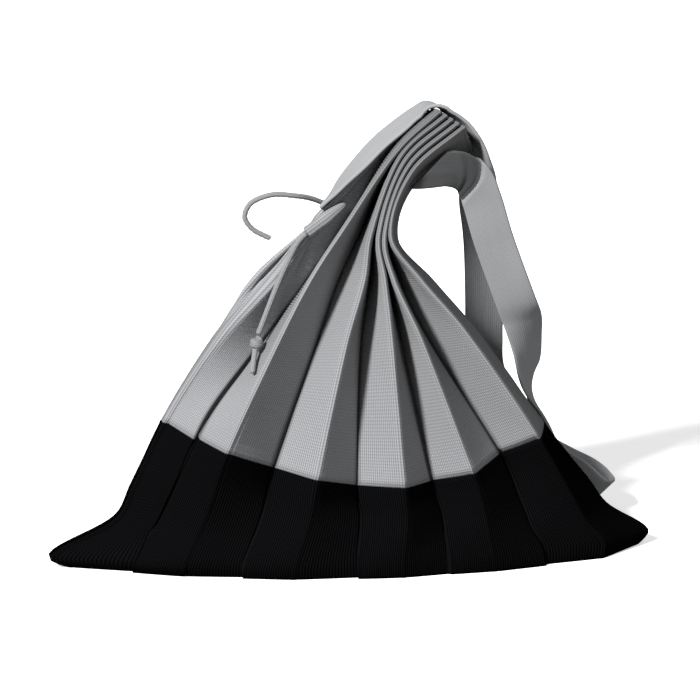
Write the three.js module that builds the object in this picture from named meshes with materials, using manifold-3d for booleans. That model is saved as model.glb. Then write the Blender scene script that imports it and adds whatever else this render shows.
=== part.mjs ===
// Pleated knit shoulder bag: two pleated panels (grey above, black below) that
// are seamed at the sides and along the bottom, a knit shoulder strap, and a
// drawcord that comes out of a short casing and ends in a knot.
// Millimetres, +Z up, X across the bag, Y from front to back.
import * as THREE from "three";
import { mergeVertices } from "three/addons/utils/BufferGeometryUtils.js";
import Module from "manifold-3d";

// ---------------------------------------------------------------- sizes
const WALL = 1.6; // knit thickness of the panels
const GAP = 0.3; // clearance between neighbouring pieces
const BACK_DROP = 0.74, BACK_DRIFT = 0.3; // shares of the front's lean that the back has
const BODY_HEIGHT = 410; // fabric height, bottom edge to mouth
const UPPER_ROWS = 18; // facets along the grey part

const STRAP_WIDTH = 29;
const STRAP_THICK = 2.4;
const STRAP_STEPS = 3; // facets between two places of the table

const CORD_DIAMETER = 4;
const CORD_SIDES = 8;
const KNOT_WIDTH = 10;
const CASING_WIDTH = 8.4;
const CASING_THICK = 5.2;

const GREY = 0x8d8d8f;
const BLACK = 0x141416;

// The origin: middle of the box's underside, in the coordinates of the tables.
const ORIGIN = new THREE.Vector3(0.6, 15.8, 0);

// ---------------------------------------------------------------- tables
// Cross-sections of the bag, from the bottom edge to the mouth; at is the share
// of the fabric's height. Each is a line from the first ridge (left_*) to the
// last one (right_*), sagging by sag in the middle (more to the right by skew),
// with the right side fold at side_*. Depths run from the middle of the bag
// outwards: first ridge (fin in front, back_fin behind), other ridges at both
// ends (ridge_l, ridge_r) and how much further they swell in the middle (belly).
// pleat is the depth from ridge to valley, dip how far valleys hang below
// ridges, drift and drop lean the depth direction to the right and down, flat is
// the width of a fold's top. first brings the first front valley forward and
// perk lifts it, tuck draws the left seam in, roll widens the first front ridge
// and stray moves the first back ridge out to the left.
const SECTIONS = [
  { name: "bottom", at: 0, left_x: -202, left_z: 0, right_x: 178, right_z: 0, sag: 0, skew: 0, side_x: 211, side_z: 0, fin: 3, back_fin: 3, ridge_l: 3, ridge_r: 34, belly: 42, pleat: 2.5, dip: 0, drift: 0, drop: 0, flat: 1.8, first: 0, perk: 0, tuck: 0, roll: 0, stray: 0 },
  { name: "toe", at: 0.04, left_x: -215, left_z: 9.5, right_x: 179, right_z: 13, sag: 0, skew: 0, side_x: 217, side_z: 11, fin: 5, back_fin: 5, ridge_l: 7, ridge_r: 35, belly: 42, pleat: 5, dip: 0, drift: 0, drop: 0, flat: 1.7, first: 0, perk: 0, tuck: 0, roll: 0, stray: 0 },
  { name: "hem", at: 0.12, left_x: -169, left_z: 34, right_x: 165, right_z: 30, sag: 2, skew: 0, side_x: 187, side_z: 31, fin: 6, back_fin: 5, ridge_l: 14, ridge_r: 33, belly: 36, pleat: 11, dip: 1, drift: 0, drop: 0, flat: 1.5, first: 3, perk: 2, tuck: 0, roll: 0, stray: 0 },
  { name: "ankle", at: 0.17, left_x: -156.5, left_z: 56.5, right_x: 155.5, right_z: 48, sag: 10, skew: 0.1, side_x: 174, side_z: 49, fin: 5, back_fin: 5, ridge_l: 19, ridge_r: 32, belly: 29, pleat: 16, dip: 2.5, drift: 0, drop: 0, flat: 1.5, first: 5, perk: 3, tuck: 0, roll: 0, stray: 0 },
  { name: "border", at: 0.29, left_x: -133.5, left_z: 104.5, right_x: 132, right_z: 90, sag: 33, skew: 0.4, side_x: 140, side_z: 94, fin: 3, back_fin: 4, ridge_l: 30, ridge_r: 30, belly: 15, pleat: 27, dip: 6.5, drift: 0, drop: 0, flat: 2, first: 10, perk: 5, tuck: 0, roll: 1, stray: 0 },
  { name: "waist", at: 0.5, left_x: -95, left_z: 167, right_x: 80, right_z: 169, sag: 5, skew: 0.5, side_x: 93, side_z: 161, fin: 13, back_fin: 4, ridge_l: 38, ridge_r: 38, belly: 4, pleat: 34, dip: 8, drift: 0.05, drop: 0.08, flat: 2, first: 0, perk: 0, tuck: 0, roll: 2, stray: 0 },
  { name: "gather", at: 0.63, left_x: -58.5, left_z: 210, right_x: 48.5, right_z: 206, sag: 1, skew: 0.2, side_x: 59.5, side_z: 202, fin: 14, back_fin: 3, ridge_l: 40, ridge_r: 40, belly: 1, pleat: 36, dip: 3, drift: 0.11, drop: 0.2, flat: 2.2, first: -3, perk: 0, tuck: 5, roll: 6.5, stray: 9 },
  { name: "neck", at: 0.73, left_x: -30, left_z: 247, right_x: 29, right_z: 235, sag: 0, skew: 0, side_x: 34, side_z: 233, fin: 11, back_fin: 3, ridge_l: 40, ridge_r: 40, belly: 0, pleat: 36, dip: 0, drift: 0.14, drop: 0.27, flat: 2.3, first: -4, perk: 0, tuck: 6, roll: 2.5, stray: -1 },
  { name: "shoulder", at: 0.87, left_x: 26.5, left_z: 304, right_x: 44, right_z: 281, sag: 0, skew: 0, side_x: 47, side_z: 274, fin: 5, back_fin: 5, ridge_l: 38, ridge_r: 38, belly: 0, pleat: 34, dip: 0, drift: 0.14, drop: 0.27, flat: 2.3, first: 0, perk: 0, tuck: 3.2, roll: 0, stray: -3 },
  { name: "mouth", at: 1, left_x: 58.5, left_z: 328.7, right_x: 81.7, right_z: 313, sag: 0, skew: 0, side_x: 85.5, side_z: 297, fin: 5, back_fin: 5, ridge_l: 36, ridge_r: 36, belly: 0, pleat: 31, dip: 0, drift: 0.14, drop: 0.27, flat: 2.3, first: 0, perk: 0, tuck: 3, roll: 0, stray: -3 },
];

// Front folds from left to right: where each lies along a section's line, as a
// share of it, at every section. The back has the same folds.
const FOLDS = [
  { name: "ridge_1", ridge: true, bottom: 0.000, toe: 0.000, hem: 0.000, ankle: 0.000, border: 0.000, waist: 0.000, gather: 0.005, neck: 0.055, shoulder: 0.070, mouth: 0.150 },
  { name: "valley_1", ridge: false, bottom: 0.113, toe: 0.146, hem: 0.080, ankle: 0.078, border: 0.080, waist: 0.188, gather: 0.271, neck: 0.420, shoulder: 0.200, mouth: 0.125 },
  { name: "ridge_2", ridge: true, bottom: 0.202, toe: 0.229, hem: 0.166, ankle: 0.161, border: 0.154, waist: 0.222, gather: 0.276, neck: 0.438, shoulder: 0.360, mouth: 0.250 },
  { name: "valley_2", ridge: false, bottom: 0.312, toe: 0.335, hem: 0.288, ankle: 0.290, border: 0.293, waist: 0.396, gather: 0.467, neck: 0.641, shoulder: 0.440, mouth: 0.344 },
  { name: "ridge_3", ridge: true, bottom: 0.405, toe: 0.425, hem: 0.386, ankle: 0.389, border: 0.397, waist: 0.504, gather: 0.631, neck: 0.765, shoulder: 0.520, mouth: 0.437 },
  { name: "valley_3", ridge: false, bottom: 0.525, toe: 0.539, hem: 0.508, ankle: 0.511, border: 0.519, waist: 0.576, gather: 0.674, neck: 0.812, shoulder: 0.600, mouth: 0.531 },
  { name: "ridge_4", ridge: true, bottom: 0.611, toe: 0.621, hem: 0.602, ankle: 0.610, border: 0.634, waist: 0.694, gather: 0.768, neck: 0.859, shoulder: 0.680, mouth: 0.625 },
  { name: "valley_4", ridge: false, bottom: 0.700, toe: 0.706, hem: 0.692, ankle: 0.700, border: 0.723, waist: 0.743, gather: 0.790, neck: 0.894, shoulder: 0.760, mouth: 0.719 },
  { name: "ridge_5", ridge: true, bottom: 0.786, toe: 0.788, hem: 0.782, ankle: 0.791, border: 0.821, waist: 0.817, gather: 0.828, neck: 0.928, shoulder: 0.840, mouth: 0.812 },
  { name: "valley_5", ridge: false, bottom: 0.887, toe: 0.883, hem: 0.881, ankle: 0.888, border: 0.911, waist: 0.847, gather: 0.864, neck: 0.968, shoulder: 0.920, mouth: 0.906 },
  { name: "ridge_6", ridge: true, bottom: 1.000, toe: 1.000, hem: 1.000, ankle: 1.000, border: 1.000, waist: 1.000, gather: 1.000, neck: 1.000, shoulder: 1.000, mouth: 1.000 },
];

// The strap's middle line, with the direction of its width at each place.
const STRAP = [
  { name: "place_1", x: -21.3, y: -3, z: 259.6, wx: 0.05, wy: -0.95, wz: 0.4, cut: 0 },
  { name: "place_2", x: -13.8, y: -3, z: 267.4, wx: 0.08, wy: -0.96, wz: 0.36, cut: 0 },
  { name: "place_3", x: -4.9, y: -3, z: 278.4, wx: 0.12, wy: -0.97, wz: 0.2, cut: 0 },
  { name: "place_4", x: 6.8, y: -3, z: 290.8, wx: 0.16, wy: -0.97, wz: 0.06, cut: 0 },
  { name: "place_5", x: 21.3, y: -3, z: 305.6, wx: 0.17, wy: -0.97, wz: 0, cut: 0 },
  { name: "place_6", x: 34.8, y: -3, z: 316.5, wx: 0.15, wy: -0.97, wz: 0, cut: 0 },
  { name: "place_7", x: 47, y: -4, z: 326.2, wx: 0.1, wy: -0.98, wz: 0.06, cut: 0 },
  { name: "place_8", x: 54.3, y: -6, z: 330.9, wx: 0.06, wy: -0.98, wz: 0.06, cut: 0 },
  { name: "place_9", x: 64.6, y: -9.6, z: 330.9, wx: -0.12, wy: -0.95, wz: 0.28, cut: 0 },
  { name: "place_10", x: 69.2, y: -9.7, z: 327.3, wx: -0.1, wy: -0.94, wz: 0.33, cut: 0 },
  { name: "place_11", x: 76.1, y: -9.8, z: 322, wx: -0.07, wy: -0.94, wz: 0.34, cut: 0 },
  { name: "place_12", x: 81.4, y: -9.7, z: 317.6, wx: 0.05, wy: -0.97, wz: 0.2, cut: 0 },
  { name: "place_13", x: 86.3, y: -9.3, z: 311.5, wx: 0.14, wy: -0.98, wz: 0.06, cut: 0 },
  { name: "place_14", x: 90.6, y: -7.6, z: 303.1, wx: 0.19, wy: -0.98, wz: 0, cut: 0 },
  { name: "place_15", x: 92.8, y: -4.6, z: 294.5, wx: 0.3, wy: -0.95, wz: 0.02, cut: 0 },
  { name: "place_16", x: 95, y: 3, z: 279.5, wx: 0.52, wy: -0.85, wz: 0.1, cut: 0 },
  { name: "place_17", x: 94.5, y: 13, z: 261, wx: 0.88, wy: -0.46, wz: 0, cut: 0 },
  { name: "place_18", x: 99.5, y: 29, z: 234, wx: 0.98, wy: 0.15, wz: -0.05, cut: 0 },
  { name: "place_19", x: 104, y: 45, z: 177.3, wx: 0.98, wy: 0.2, wz: 0, cut: 0 },
  { name: "place_20", x: 105.7, y: 55, z: 141.8, wx: 0.98, wy: 0.21, wz: 0.05, cut: 0 },
  { name: "place_21", x: 108.3, y: 63, z: 117, wx: 0.97, wy: 0.21, wz: 0.16, cut: 0 },
  { name: "place_22", x: 123.4, y: 76, z: 81.2, wx: 0.83, wy: 0.16, wz: 0.53, cut: 0 },
  { name: "place_23", x: 151.7, y: 87.7, z: 47.8, wx: 0.52, wy: 0.16, wz: 0.84, cut: 0 },
  { name: "place_24", x: 172.3, y: 92.1, z: 33.8, wx: 0.4, wy: 0.2, wz: 0.89, cut: 0 },
  { name: "place_25", x: 187.8, y: 91.8, z: 25.3, wx: 0.4, wy: 0.15, wz: 0.9, cut: 0 },
  { name: "place_26", x: 195.8, y: 88, z: 18.8, wx: 0.5, wy: 0, wz: 0.86, cut: 0 },
  { name: "place_27", x: 197.7, y: 81.4, z: 16.6, wx: 0.62, wy: -0.3, wz: 0.72, cut: 0 },
  { name: "place_28", x: 191.2, y: 71.8, z: 19.1, wx: 0.55, wy: -0.4, wz: 0.73, cut: 0 },
  { name: "place_29", x: 175.5, y: 68.5, z: 34.5, wx: 0.5, wy: -0.45, wz: 0.74, cut: 0 },
  { name: "place_30", x: 158, y: 68.7, z: 49.8, wx: 0.45, wy: -0.6, wz: 0.66, cut: 0 },
  { name: "place_31", x: 148.6, y: 56, z: 78.9, wx: 0.13, wy: -0.96, wz: 0.25, cut: 0 },
  { name: "place_32", x: 139.7, y: 48, z: 101.1, wx: -0.04, wy: -1, wz: 0.05, cut: 0 },
  { name: "place_33", x: 136.3, y: 37, z: 124.4, wx: -0.61, wy: -0.79, wz: 0, cut: 0 },
  { name: "place_34", x: 132.7, y: 26, z: 146.9, wx: -0.8, wy: -0.6, wz: 0, cut: 0 },
  { name: "place_35", x: 128.1, y: 16, z: 164.6, wx: -0.96, wy: -0.28, wz: -0.04, cut: 0 },
  { name: "place_36", x: 121.5, y: 6, z: 181, wx: -1, wy: 0.1, wz: -0.1, cut: 0 },
  { name: "place_37", x: 101.6, y: -8.5, z: 234.2, wx: -0.93, wy: 0.25, wz: -0.26, cut: 0 },
  { name: "place_38", x: 91.8, y: -16, z: 265.3, wx: -0.88, wy: 0.32, wz: -0.34, cut: 0 },
  { name: "place_39", x: 84.2, y: -21.5, z: 281.5, wx: -0.55, wy: 0.32, wz: -0.77, cut: 0 },
  { name: "place_40", x: 72, y: -26, z: 288.9, wx: -0.27, wy: 0.25, wz: -0.93, cut: 0.2 },
  { name: "place_41", x: 53.6, y: -29.5, z: 290.2, wx: 0, wy: 0.24, wz: -0.97, cut: 0.82 },
];

// The drawcord's routes.
const CORD_FRONT = [
  { name: "exit", x: -33.4, y: -15.9, z: 244 },
  { name: "bend", x: -39.6, y: -17, z: 237.8 },
  { name: "hang", x: -46.2, y: -17.2, z: 225.3 },
  { name: "panel", x: -54, y: -18, z: 208.5 },
  { name: "knot_top", x: -69.3, y: -25, z: 173.3 },
];
const CORD_TAIL = [
  { name: "in_knot", x: -70.4, y: -25.6, z: 169 },
  { name: "knot_foot", x: -71, y: -26, z: 166 },
  { name: "tail", x: -73.2, y: -31, z: 156 },
  { name: "tail_end", x: -75, y: -36, z: 148 },
];
const CORD_BACK = [
  { name: "exit", x: -9.5, y: 15.4, z: 254.5 },
  { name: "behind", x: -17, y: 15.2, z: 257.8 },
  { name: "over", x: -26, y: 11, z: 262.4 },
  { name: "out", x: -38, y: 5, z: 266.2 },
  { name: "top", x: -56, y: 3, z: 268 },
  { name: "far_side", x: -71, y: 3, z: 262 },
  { name: "return", x: -75, y: 3, z: 252.5 },
  { name: "turn", x: -70, y: 3, z: 244 },
  { name: "bare_end", x: -56.5, y: 3, z: 236 },
];
const KNOT = { x: -70.5, y: -26, z: 167.3, lobe: 0.62, shift: 2.2 };
const CASING = [
  { name: "upper", x: -4.7, y: -11, z: 262.9 },
  { name: "fold", x: -11.3, y: -12.8, z: 259.1 },
  { name: "mid", x: -20.9, y: -14.6, z: 252.5 },
  { name: "lower", x: -32.8, y: -16, z: 244.4 },
];

// ---------------------------------------------------------------- the pleats
const V = (x, y, z) => new THREE.Vector3(x, y, z);

// The wall points of one half at one section: the left side seam, two points
// for each fold from left to right, and the right side fold.
function sectionHalf(sec, front) {
  const way = front ? -1 : 1;
  const left = V(sec.left_x, 0, sec.left_z);
  const span = V(sec.right_x - sec.left_x, 0, sec.right_z - sec.left_z);
  const along = span.clone().normalize();
  const down = V(along.z, 0, -along.x); // square to the line, downwards
  const lean = V(sec.drift * (front ? 1 : BACK_DRIFT), 1, -sec.drop * (front ? 1 : BACK_DROP));
  const half = [left.clone().addScaledVector(along, sec.tuck - sec.flat / 2)];
  FOLDS.forEach((fold, k) => {
    const s = fold[sec.name];
    const arch = 4 * s * (1 - s);
    let depth = sec.ridge_l + (sec.ridge_r - sec.ridge_l) * s + sec.belly * arch;
    if (k === 0) depth = front ? sec.fin : sec.back_fin;
    if (!fold.ridge) depth -= sec.pleat;
    if (k === 1 && front) depth += sec.first;
    let hang = sec.sag * arch * (1 + sec.skew * (2 * s - 1));
    if (!fold.ridge) hang += sec.dip * arch;
    if (k === 1) hang -= sec.perk;
    const mid = left.clone().addScaledVector(span, s).addScaledVector(down, hang);
    for (const side of [-0.5, 0.5]) {
      const p = mid.clone().addScaledVector(along, side * sec.flat).addScaledVector(lean, depth * way);
      if (k === 0 && front && side < 0) p.addScaledVector(lean, -way * 0.75 * Math.min(sec.roll, sec.fin));
      if (k === 0 && front && side > 0) p.addScaledVector(along, sec.roll);
      if (k === 0 && !front) p.addScaledVector(along, -sec.stray);
      half.push(p);
    }
  });
  const corner = V(sec.side_x, 0, sec.side_z);
  half.push(corner.clone().addScaledVector(lean, way * 0.5 * sec.flat), corner);
  return half;
}
const HALVES = {
  front: SECTIONS.map((sec) => sectionHalf(sec, true)),
  back: SECTIONS.map((sec) => sectionHalf(sec, false)),
};

// Smooth curve through the sections for every wall point.
function halfAt(t, front) {
  const rows = front ? HALVES.front : HALVES.back;
  let i = 0;
  while (i < SECTIONS.length - 2 && t > SECTIONS[i + 1].at) i++;
  const t0 = SECTIONS[i].at, t1 = SECTIONS[i + 1].at, h = t1 - t0, u = (t - t0) / h;
  const slope = (j, k) => {
    const a = Math.max(0, j - 1), b = Math.min(SECTIONS.length - 1, j + 1);
    return rows[b][k].clone().sub(rows[a][k]).divideScalar(SECTIONS[b].at - SECTIONS[a].at);
  };
  const h00 = 2 * u ** 3 - 3 * u ** 2 + 1, h10 = u ** 3 - 2 * u ** 2 + u;
  const h01 = -2 * u ** 3 + 3 * u ** 2, h11 = u ** 3 - u ** 2;
  return rows[i].map((p, k) => p.clone().multiplyScalar(h00)
    .addScaledVector(slope(i, k), h10 * h)
    .addScaledVector(rows[i + 1][k], h01)
    .addScaledVector(slope(i + 1, k), h11 * h));
}

// The wall's outer and inner points along one row of a half, from side seam to
// side seam. The two halves stop short of each other by half the gap each.
function wallRow(t, front) {
  const step = 0.002, way = front ? -1 : 1;
  const pts = halfAt(t, front);
  const lower = halfAt(Math.max(0, t - step), front), upper = halfAt(Math.min(1, t + step), front);
  const ups = pts.map((p, k) => upper[k].clone().sub(lower[k]).normalize());
  const normals = [];
  for (let k = 0; k + 1 < pts.length; k++) {
    const edge = pts[k + 1].clone().sub(pts[k]);
    const up = ups[k].clone().add(ups[k + 1]);
    normals.push(edge.cross(up).normalize().multiplyScalar(-way));
  }
  const outer = [], inner = [];
  const last = pts.length - 1;
  pts.forEach((p, k) => {
    const a = normals[Math.max(0, k - 1)], b = normals[Math.min(normals.length - 1, k)];
    const miter = a.clone().add(b).divideScalar(Math.max(0.35, 1 + a.dot(b)));
    for (const [list, side] of [[outer, 0.5], [inner, -0.5]]) {
      const q = p.clone().addScaledVector(miter, side * WALL);
      if (k === 0 || k === last) q.y = way * Math.max(GAP / 2, way * q.y);
      list.push(q);
    }
  });
  return { outer, inner };
}

function solid(points, faces) {
  const geometry = new THREE.BufferGeometry();
  geometry.setAttribute("position", new THREE.Float32BufferAttribute(points.flatMap((p) => [p.x, p.y, p.z]), 3));
  geometry.setIndex(faces.flat());
  return geometry;
}

// A pleated half wall through rows at the given heights of the fabric. With a
// bottom, the wall stands on its half of the folded-under base plate.
function pleatedHalf(heights, front, bottom) {
  const grid = heights.map((t) => wallRow(t, front));
  if (bottom) {
    grid[0].outer.forEach((p) => { p.z = 0; });
    grid[0].inner.forEach((p) => { p.z = WALL; });
    for (const row of grid.slice(1)) {
      row.outer.forEach((p) => { p.z = Math.max(p.z, 0.2); });
      row.inner.forEach((p) => { p.z = Math.max(p.z, WALL + 0.2); });
    }
  }
  const rows = grid.length - 1;
  const n = grid[0].outer.length;
  const points = [], faces = [];
  const out = (j, k) => (j * n + k) * 2, inn = (j, k) => (j * n + k) * 2 + 1;
  for (const row of grid) for (let k = 0; k < n; k++) points.push(row.outer[k], row.inner[k]);
  const face = (a, b, c) => faces.push(front ? [a, b, c] : [a, c, b]);
  const quad = (a, b, c, d) => { face(a, b, c); face(a, c, d); };
  for (let j = 0; j < rows; j++) {
    for (let k = 0; k + 1 < n; k++) {
      quad(out(j, k), out(j, k + 1), out(j + 1, k + 1), out(j + 1, k));
      quad(inn(j, k + 1), inn(j, k), inn(j + 1, k), inn(j + 1, k + 1));
    }
    quad(inn(j, 0), out(j, 0), out(j + 1, 0), inn(j + 1, 0));
    quad(out(j, n - 1), inn(j, n - 1), inn(j + 1, n - 1), out(j + 1, n - 1));
  }
  for (let k = 0; k + 1 < n; k++) {
    quad(out(rows, k), out(rows, k + 1), inn(rows, k + 1), inn(rows, k));
    if (!bottom) quad(out(0, k), inn(0, k), inn(0, k + 1), out(0, k + 1));
  }
  if (bottom) {
    const flat = (side) => grid[0][side].map((p) => new THREE.Vector2(p.x, p.y * (front ? 1 : -1)));
    for (const [a, b, c] of THREE.ShapeUtils.triangulateShape(flat("outer"), [])) face(out(0, a), out(0, c), out(0, b));
    for (const [a, b, c] of THREE.ShapeUtils.triangulateShape(flat("inner"), [])) face(inn(0, a), inn(0, b), inn(0, c));
    quad(out(0, n - 1), out(0, 0), inn(0, 0), inn(0, n - 1));
  }
  return solid(points, faces);
}

// ---------------------------------------------------------------- band and cords
const route = (table) => new THREE.CatmullRomCurve3(table.map((r) => V(r.x, r.y, r.z)), false, "centripetal");

// A flat band along a table of places and width directions. cut slants the
// band's cross-lines where its end is sewn on at a slope.
function band(table, width, thick, between) {
  const curve = route(table);
  const dirs = new THREE.CatmullRomCurve3(table.map((r) => V(r.wx, r.wy, r.wz)), false, "centripetal");
  const steps = (table.length - 1) * between;
  const points = [], faces = [];
  for (let j = 0; j <= steps; j++) {
    const u = j / steps, i = Math.min(table.length - 2, Math.floor(j / between)), f = j / between - i;
    const mid = curve.getPoint(u), ahead = curve.getTangent(u);
    const across = dirs.getPoint(u);
    across.addScaledVector(ahead, -across.dot(ahead)).normalize();
    const normal = new THREE.Vector3().crossVectors(ahead, across);
    across.addScaledVector(ahead, table[i].cut * (1 - f) + table[i + 1].cut * f);
    for (const [a, f] of [[-1, -1], [1, -1], [1, 1], [-1, 1]]) {
      points.push(mid.clone().addScaledVector(across, (a * width) / 2).addScaledVector(normal, (f * thick) / 2));
    }
  }
  const at = (j, k) => j * 4 + (k % 4);
  for (let j = 0; j < steps; j++) {
    for (let k = 0; k < 4; k++) {
      faces.push([at(j, k), at(j, k + 1), at(j + 1, k + 1)], [at(j, k), at(j + 1, k + 1), at(j + 1, k)]);
    }
  }
  faces.push([at(0, 2), at(0, 1), at(0, 0)], [at(0, 3), at(0, 2), at(0, 0)]);
  faces.push([at(steps, 0), at(steps, 1), at(steps, 2)], [at(steps, 0), at(steps, 2), at(steps, 3)]);
  return solid(points, faces);
}

function disc(rx, ry, sides) {
  const shape = new THREE.Shape();
  for (let k = 0; k < sides; k++) {
    const a = ((k + 0.5) / sides) * Math.PI * 2;
    if (k === 0) shape.moveTo(rx * Math.cos(a), ry * Math.sin(a));
    else shape.lineTo(rx * Math.cos(a), ry * Math.sin(a));
  }
  shape.closePath();
  return shape;
}

function tube(table, diameter) {
  const curve = route(table);
  const steps = Math.max(4, Math.round(curve.getLength() / (2.5 * diameter)));
  return new THREE.ExtrudeGeometry(disc(diameter / 2, diameter / 2, CORD_SIDES), { steps, extrudePath: curve, bevelEnabled: false });
}

const wasm = await Module();
wasm.setup();
function toSolid(geometry) {
  const bare = geometry.clone();
  for (const name of Object.keys(bare.attributes)) if (name !== "position") bare.deleteAttribute(name);
  const merged = mergeVertices(bare, 1e-3);
  return new wasm.Manifold(new wasm.Mesh({
    numProp: 3,
    vertProperties: new Float32Array(merged.attributes.position.array),
    triVerts: new Uint32Array(merged.index.array),
  }));
}
function fromSolid(made) {
  const mesh = made.getMesh();
  const geometry = new THREE.BufferGeometry();
  geometry.setAttribute("position", new THREE.Float32BufferAttribute(mesh.vertProperties, 3));
  geometry.setIndex(Array.from(mesh.triVerts));
  return geometry;
}

// The knot: two crossing lobes and the short tail below them.
function knot() {
  const lobe = (shift, turn) => {
    const ball = new THREE.SphereGeometry(KNOT_WIDTH / 2, 14, 9);
    ball.scale(1, 0.9, KNOT.lobe);
    ball.rotateY(turn);
    ball.translate(KNOT.x, KNOT.y, KNOT.z + shift);
    return toSolid(ball);
  };
  const tail = toSolid(tube(CORD_TAIL, CORD_DIAMETER));
  return fromSolid(lobe(KNOT.shift, 0.45).add(lobe(-KNOT.shift, -0.45)).add(tail));
}

// ---------------------------------------------------------------- the bag
const group = new THREE.Group();
function piece(name, geometry, color, roughness) {
  const mesh = new THREE.Mesh(geometry, new THREE.MeshStandardMaterial({ color, roughness, metalness: 0 }));
  mesh.name = name;
  mesh.position.copy(ORIGIN).negate();
  group.add(mesh);
}
const borderAt = SECTIONS.find((s) => s.name === "border").at;
const halfGap = GAP / BODY_HEIGHT;
const lowerHeights = [0, 0.02, 0.04, 0.08, 0.12, 0.17, 0.21, 0.25, borderAt - halfGap];
const upperHeights = [...Array(UPPER_ROWS + 1).keys()].map((j) => borderAt + halfGap + ((1 - borderAt - halfGap) * j) / UPPER_ROWS);
piece("front_lower_panel", pleatedHalf(lowerHeights, true, true), BLACK, 0.9);
piece("back_lower_panel", pleatedHalf(lowerHeights, false, true), BLACK, 0.9);
piece("front_upper_panel", pleatedHalf(upperHeights, true, false), GREY, 0.85);
piece("back_upper_panel", pleatedHalf(upperHeights, false, false), GREY, 0.85);
piece("shoulder_strap", band(STRAP, STRAP_WIDTH, STRAP_THICK, STRAP_STEPS), GREY, 0.85);
piece("cord_casing", new THREE.ExtrudeGeometry(disc(CASING_THICK / 2, CASING_WIDTH / 2, 10), { steps: 4, extrudePath: route(CASING), bevelEnabled: false }), GREY, 0.85);
piece("drawcord_front", tube(CORD_FRONT, CORD_DIAMETER), GREY, 0.85);
piece("cord_knot", knot(), GREY, 0.85);
piece("drawcord_back", tube(CORD_BACK, CORD_DIAMETER), GREY, 0.85);

export default group;
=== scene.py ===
# Pleated knit shoulder bag: the looks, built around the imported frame.
import math

import bpy
import numpy as np
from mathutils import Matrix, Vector


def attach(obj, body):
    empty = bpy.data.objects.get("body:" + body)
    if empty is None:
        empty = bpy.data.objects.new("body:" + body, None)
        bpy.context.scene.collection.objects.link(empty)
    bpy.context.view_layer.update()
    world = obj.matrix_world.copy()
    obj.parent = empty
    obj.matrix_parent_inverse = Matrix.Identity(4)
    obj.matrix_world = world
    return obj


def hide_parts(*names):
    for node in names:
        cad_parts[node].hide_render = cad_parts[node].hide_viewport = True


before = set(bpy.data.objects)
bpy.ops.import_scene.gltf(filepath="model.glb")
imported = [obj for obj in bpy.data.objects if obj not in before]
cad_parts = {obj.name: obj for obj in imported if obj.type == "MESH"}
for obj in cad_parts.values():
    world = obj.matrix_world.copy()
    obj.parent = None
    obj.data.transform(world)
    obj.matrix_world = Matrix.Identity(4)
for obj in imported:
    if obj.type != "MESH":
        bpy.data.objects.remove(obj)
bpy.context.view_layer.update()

MM = 0.001
ORIGIN = np.array([0.6, 15.8, 0.0])  # of the frame, in the tables' millimetres


def place(points):
    """Table millimetres to frame metres."""
    return (np.asarray(points, float) - ORIGIN) * MM


# ---------------------------------------------------------------- camera
PX = 0.72  # millimetres to a pixel of the 700 x 700 frame
AZ, EL = math.radians(-8.0), math.radians(15.0)
FAR = 5.0
aim_mm = 205 * PX  # the frame's middle is this far above the tables' origin, along the picture's up
cam_up = np.array([-math.sin(AZ) * math.sin(EL), math.cos(AZ) * math.sin(EL), math.cos(EL)])
cam_way = np.array([-math.sin(AZ) * math.cos(EL), math.cos(AZ) * math.cos(EL), -math.sin(EL)])
target = place(cam_up * aim_mm)
cam_data = bpy.data.cameras.new("camera")
cam_data.sensor_width = 36.0
cam_data.lens = 36.0 * FAR / (700 * PX * MM)
cam_data.clip_end = 60.0
camera = bpy.data.objects.new("camera", cam_data)
camera.location = Vector(target - cam_way * FAR)
camera.rotation_euler = Vector(cam_way).to_track_quat("-Z", "Y").to_euler()
bpy.context.scene.collection.objects.link(camera)
bpy.context.scene.camera = camera


# ---------------------------------------------------------------- small tools
def smooth(x):
    x = np.clip(x, 0.0, 1.0)
    return x * x * (3 - 2 * x)


def unit(v):
    return v / np.maximum(np.linalg.norm(v, axis=-1, keepdims=True), 1e-12)


def ripple(a, b, seed):
    """A smooth, repeatable unevenness between about -1 and 1."""
    rng = np.random.default_rng(seed)
    total = np.zeros(np.broadcast(a, b).shape)
    for k in range(5):
        fa, fb = rng.uniform(0.5, 2.6, 2) * (1 + 0.5 * k)
        p, q = rng.uniform(0, 6.28, 2)
        total = total + np.sin(fa * a + p + 1.3 * np.sin(0.7 * fb * b + q)) * np.cos(fb * b + q) / (1 + 0.5 * k)
    return total / 2.2


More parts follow.
